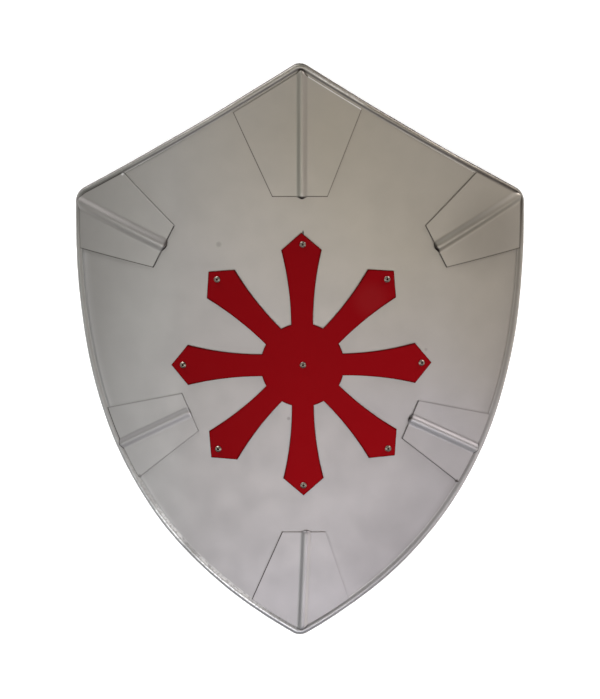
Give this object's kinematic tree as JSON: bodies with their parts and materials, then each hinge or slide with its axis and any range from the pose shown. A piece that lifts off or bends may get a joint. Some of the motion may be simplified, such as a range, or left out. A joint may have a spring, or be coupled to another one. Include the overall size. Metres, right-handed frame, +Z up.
{
  "type": "heater shield",
  "caption": "Bowed steel heater shield with a round rim, beaded gussets at its points and sides, and a riveted red cross of flared arms.",
  "frame": {"origin": "centre of the bounding box, on the floor that the shield lies on", "axes": "+X across the shield, to the right as its face is seen; +Y along it, towards the top point; +Z up, out of its face. The shield lies face up as it comes to rest on the two sides of its rim, so it is turned 5.4 degrees about X with its bottom point low."},
  "size_m": [0.46, 0.5772, 0.0916],
  "materials": {
    "silver_paint": "satin silver-grey",
    "rim_silver": "satin silver-grey, a little brighter than the plate",
    "red_paint": "dark red, half gloss",
    "rivet_metal": "bare, slightly dull"
  },
  "bodies": {
    "root": {"shield_plate": "silver_paint", "edge_rim": "rim_silver", "top_gusset": "silver_paint", "upper_left_gusset": "silver_paint", "upper_right_gusset": "silver_paint", "lower_left_gusset": "silver_paint", "lower_right_gusset": "silver_paint", "bottom_gusset": "silver_paint", "red_cross": "red_paint", "centre_rivet": "rivet_metal", "arm_rivet_1": "rivet_metal", "arm_rivet_2": "rivet_metal", "arm_rivet_3": "rivet_metal", "arm_rivet_4": "rivet_metal", "arm_rivet_5": "rivet_metal", "arm_rivet_6": "rivet_metal", "arm_rivet_7": "rivet_metal", "arm_rivet_8": "rivet_metal"}
  },
  "joints": []
}
